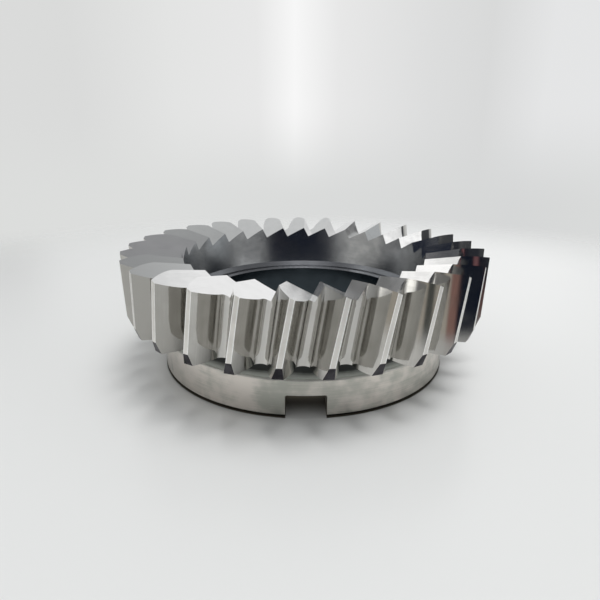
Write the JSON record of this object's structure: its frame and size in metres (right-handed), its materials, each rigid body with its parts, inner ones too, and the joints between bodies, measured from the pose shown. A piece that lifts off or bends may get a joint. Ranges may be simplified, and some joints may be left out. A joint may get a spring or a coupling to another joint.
{
  "type": "gear shaper cutter",
  "caption": "Ring-shaped helical gear shaper cutter with step-ground cutting faces, counterbored bore and a notched seating hub.",
  "frame": {"origin": "centre of the hub's seat face, on the bore axis", "axes": "+Z along the bore axis from the seat face to the cutting end; the driving notch in the hub faces -Y"},
  "size_m": [0.1457, 0.1459, 0.0474],
  "materials": {
    "cutter_steel": "ground and lapped high-speed steel, bright flanks and satin hub"
  },
  "bodies": {
    "root": {"shaper_cutter": "cutter_steel"}
  },
  "joints": []
}
